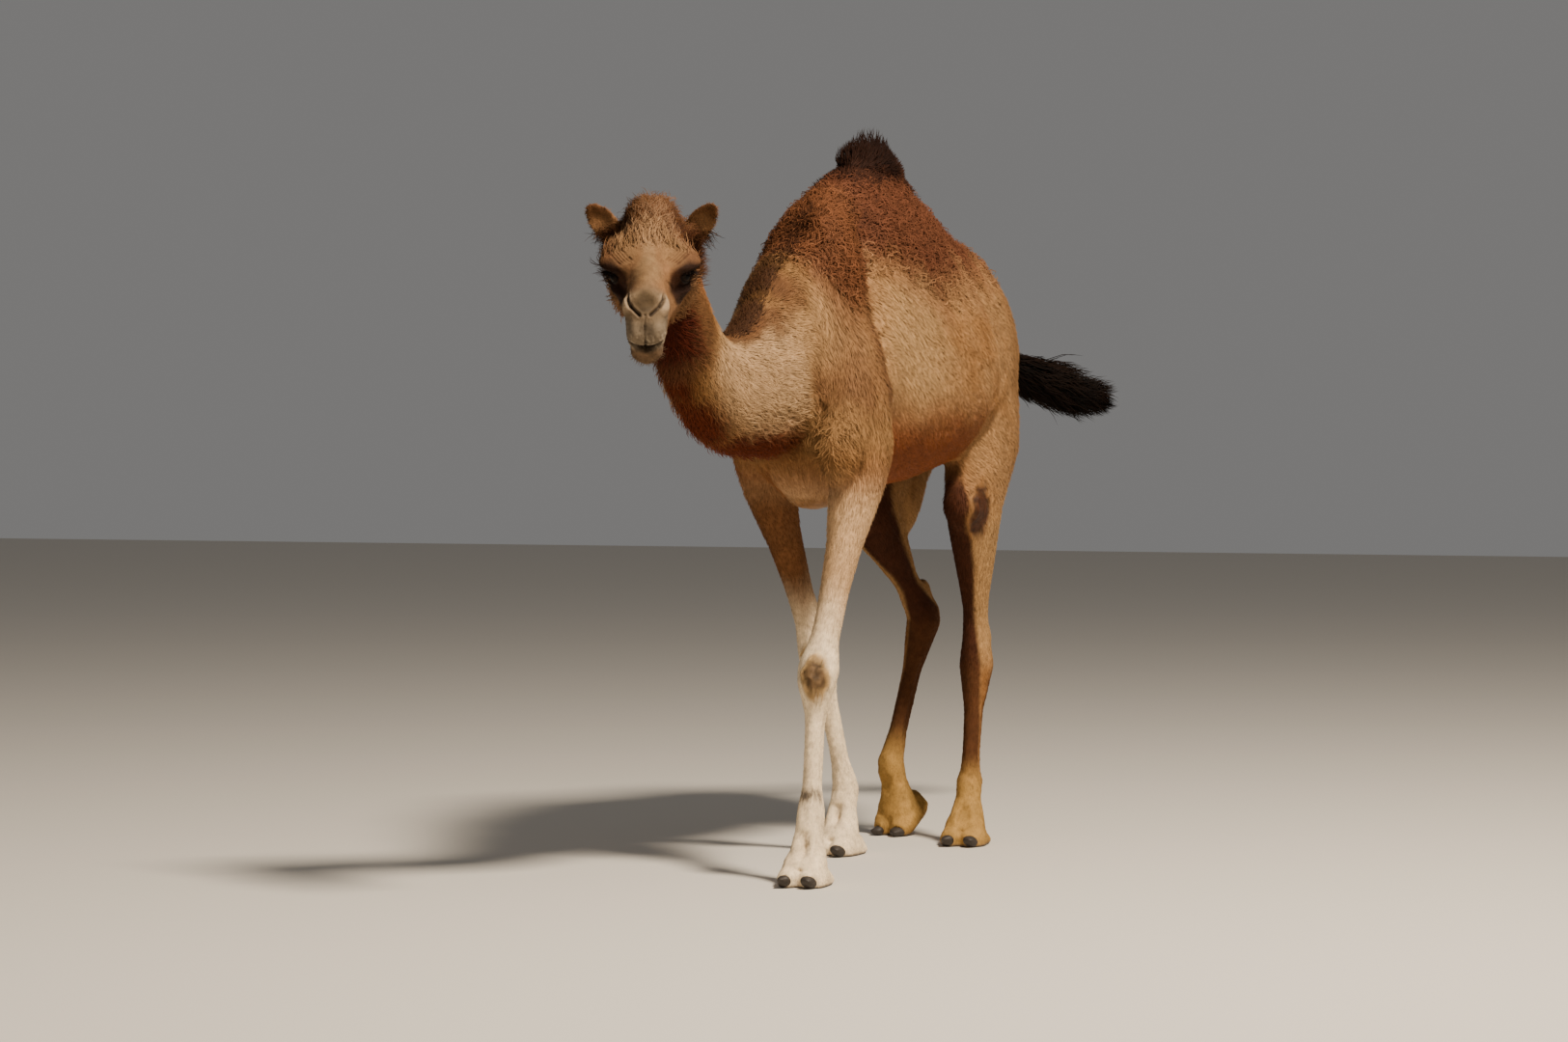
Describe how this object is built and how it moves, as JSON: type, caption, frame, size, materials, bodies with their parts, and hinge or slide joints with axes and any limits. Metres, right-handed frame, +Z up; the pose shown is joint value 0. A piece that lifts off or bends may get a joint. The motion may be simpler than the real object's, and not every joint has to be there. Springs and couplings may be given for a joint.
{
  "type": "dromedary camel",
  "caption": "Life-size walking dromedary camel with head turned to its left, as a still museum model for display.",
  "frame": {"origin": "middle of the animal's floor plan, on the floor its feet stand on", "axes": "+Z up, the camel faces -Y along its length, and its left side is +X"},
  "size_m": [0.6052, 2.8458, 2.0631],
  "materials": {
    "tan_coat": "short matt hair",
    "pale_coat": "short matt hair",
    "brown_wool": "curly matt wool",
    "black_hair": "long satin hair",
    "callus": "rough dry callus",
    "horn": "dull horn",
    "dark_eye": "wet gloss"
  },
  "bodies": {
    "root": {"head": "tan_coat", "neck_upper": "tan_coat", "neck_lower": "tan_coat", "trunk": "tan_coat", "hump": "brown_wool", "tail_dock": "tan_coat", "tail_tuft": "black_hair", "chest_pad": "callus", "ear_left": "tan_coat", "ear_right": "tan_coat", "eye_left": "dark_eye", "eye_right": "dark_eye", "foreleg_left_upper": "pale_coat", "foreleg_left_cannon": "pale_coat", "foreleg_left_foot": "pale_coat", "foreleg_left_nail_left": "horn", "foreleg_left_nail_right": "horn", "foreleg_right_upper": "pale_coat", "foreleg_right_cannon": "pale_coat", "foreleg_right_foot": "pale_coat", "foreleg_right_nail_left": "horn", "foreleg_right_nail_right": "horn", "hindleg_left_upper": "tan_coat", "hindleg_left_cannon": "tan_coat", "hindleg_left_foot": "tan_coat", "hindleg_left_nail_left": "horn", "hindleg_left_nail_right": "horn", "hindleg_right_upper": "tan_coat", "hindleg_right_cannon": "tan_coat", "hindleg_right_foot": "tan_coat", "hindleg_right_nail_left": "horn", "hindleg_right_nail_right": "horn"}
  },
  "joints": []
}
